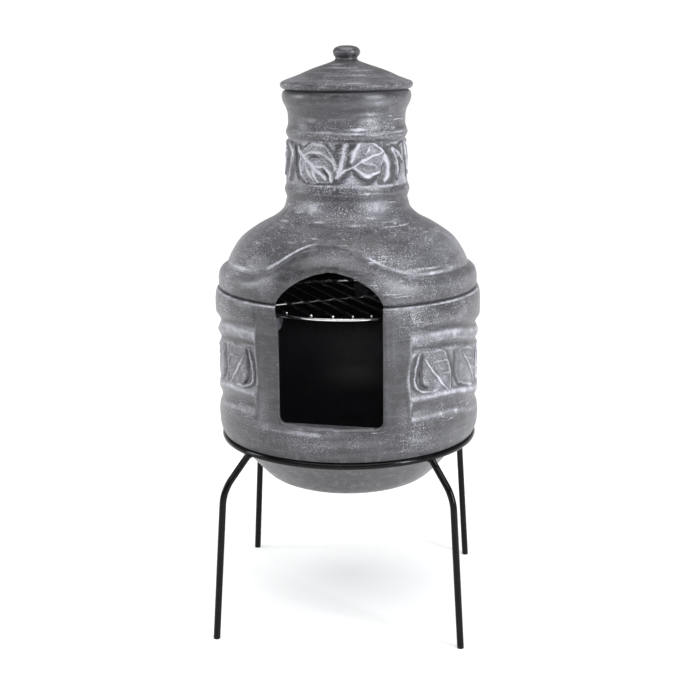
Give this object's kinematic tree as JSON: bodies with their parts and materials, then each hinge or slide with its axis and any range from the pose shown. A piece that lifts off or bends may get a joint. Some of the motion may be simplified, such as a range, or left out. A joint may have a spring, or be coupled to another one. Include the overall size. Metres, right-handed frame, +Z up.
{
  "type": "chiminea",
  "caption": "Clay chiminea with a lidded chimney, an open-fronted fire bowl with a wire grill, and a bent-rod stand.",
  "frame": {"origin": "on the ground, below the body's vertical axis", "axes": "+Z up; the doorway faces -Y; +X is to the right of someone who faces the doorway"},
  "size_m": [0.3892, 0.3874, 0.832],
  "materials": {
    "clay": "matt grey limewashed clay",
    "stand_paint": "gloss black",
    "grill_chrome": "bright"
  },
  "bodies": {
    "stand": {"stand_ring": "stand_paint", "leg_front_left": "stand_paint", "leg_front_right": "stand_paint", "leg_back_left": "stand_paint", "leg_back_right": "stand_paint"},
    "bowl": {"fire_bowl": "clay"},
    "grill": {"grill_ring": "grill_chrome", "grill_crossbar": "grill_chrome", "grill_wire_01": "grill_chrome", "grill_wire_02": "grill_chrome", "grill_wire_03": "grill_chrome", "grill_wire_04": "grill_chrome", "grill_wire_05": "grill_chrome", "grill_wire_06": "grill_chrome", "grill_wire_07": "grill_chrome", "grill_wire_08": "grill_chrome", "grill_wire_09": "grill_chrome", "grill_wire_10": "grill_chrome", "grill_wire_11": "grill_chrome"},
    "dome": {"chimney_dome": "clay"},
    "lid": {"lid": "clay"}
  },
  "joints": [
    {"name": "bowl_lift", "type": "slide", "parent": "stand", "child": "bowl", "axis": [0, 0, 1], "range_m": [0, 0.12]},
    {"name": "grill_lift", "type": "slide", "parent": "bowl", "child": "grill", "axis": [0, 0, 1], "range_m": [0, 0.05]},
    {"name": "dome_lift", "type": "slide", "parent": "bowl", "child": "dome", "axis": [0, 0, 1], "range_m": [0, 0.15]},
    {"name": "lid_lift", "type": "slide", "parent": "dome", "child": "lid", "axis": [0, 0, 1], "range_m": [0, 0.08]}
  ]
}
